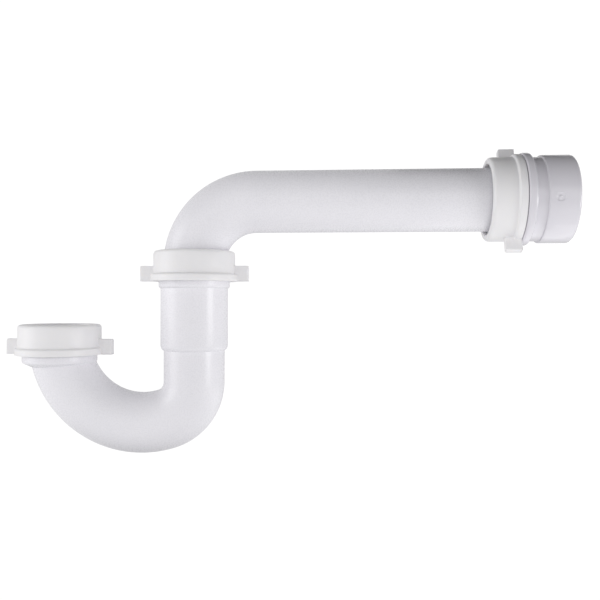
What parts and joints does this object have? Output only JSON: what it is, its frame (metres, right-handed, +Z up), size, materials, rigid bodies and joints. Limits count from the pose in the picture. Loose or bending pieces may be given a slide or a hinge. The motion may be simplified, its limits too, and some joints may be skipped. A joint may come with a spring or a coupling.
{
  "type": "p trap",
  "caption": "Slip-joint P-trap: adapter for the wall pipe, trap arm with a wall bend, J-bend, and winged slip nuts over bevelled washers.",
  "frame": {"origin": "centre of the adapter's open mouth, where the wall pipe goes in", "axes": "+X along the trap arm towards the wall, +Z up; the J-bend hangs in the XZ plane"},
  "size_m": [0.347, 0.0554, 0.1884],
  "materials": {
    "tube_pvc": "smooth white drain-tube plastic, soft gloss",
    "adapter_pvc": "moulded white pipe-fitting plastic, slightly greyer",
    "nut_plastic": "satin white moulded nut, slightly translucent at thin edges",
    "poly_washer": "translucent milky polyethylene"
  },
  "bodies": {
    "trap_adapter": {"trap_adapter": "adapter_pvc"},
    "trap_arm": {"trap_arm": "tube_pvc"},
    "outlet_washer": {"outlet_washer": "poly_washer"},
    "outlet_nut": {"outlet_nut": "nut_plastic"},
    "mid_washer": {"mid_washer": "poly_washer"},
    "mid_nut": {"mid_nut": "nut_plastic"},
    "j_bend": {"j_bend": "tube_pvc"},
    "inlet_washer": {"inlet_washer": "poly_washer"},
    "inlet_nut": {"inlet_nut": "nut_plastic"}
  },
  "joints": [
    {"name": "arm_swivel", "type": "hinge", "parent": "trap_adapter", "child": "trap_arm", "pos_m": [-0.0486, 0, 0], "axis": [1, 0, 0], "continuous": true},
    {"name": "outlet_nut_travel", "type": "slide", "parent": "trap_adapter", "child": "outlet_washer", "axis": [-1, 0, 0], "range_m": [0, 0.00774]},
    {"name": "outlet_nut_spin", "type": "hinge", "parent": "outlet_washer", "child": "outlet_nut", "pos_m": [-0.0486, 0, 0], "axis": [-1, 0, 0], "range_deg": [0, 1260]},
    {"name": "trap_swivel", "type": "hinge", "parent": "trap_arm", "child": "mid_washer", "pos_m": [-0.227, 0, -0.0304], "axis": [0, 0, 1], "continuous": true},
    {"name": "mid_nut_spin", "type": "hinge", "parent": "mid_washer", "child": "mid_nut", "pos_m": [-0.227, 0, -0.0304], "axis": [0, 0, 1], "range_deg": [0, 1260]},
    {"name": "trap_drop", "type": "slide", "parent": "mid_washer", "child": "j_bend", "axis": [0, 0, -1], "range_m": [0, 0.00774]},
    {"name": "inlet_nut_travel", "type": "slide", "parent": "j_bend", "child": "inlet_washer", "axis": [0, 0, 1], "range_m": [0, 0.00774]},
    {"name": "inlet_nut_spin", "type": "hinge", "parent": "inlet_washer", "child": "inlet_nut", "pos_m": [-0.313, 0, -0.0762], "axis": [0, 0, 1], "range_deg": [0, 1260]}
  ],
  "couplings": [
    {"joint": "outlet_nut_travel", "follows": "outlet_nut_spin", "m_per_rad": 0.00035152},
    {"joint": "trap_drop", "follows": "mid_nut_spin", "m_per_rad": 0.00035152},
    {"joint": "inlet_nut_travel", "follows": "inlet_nut_spin", "m_per_rad": 0.00035152}
  ]
}
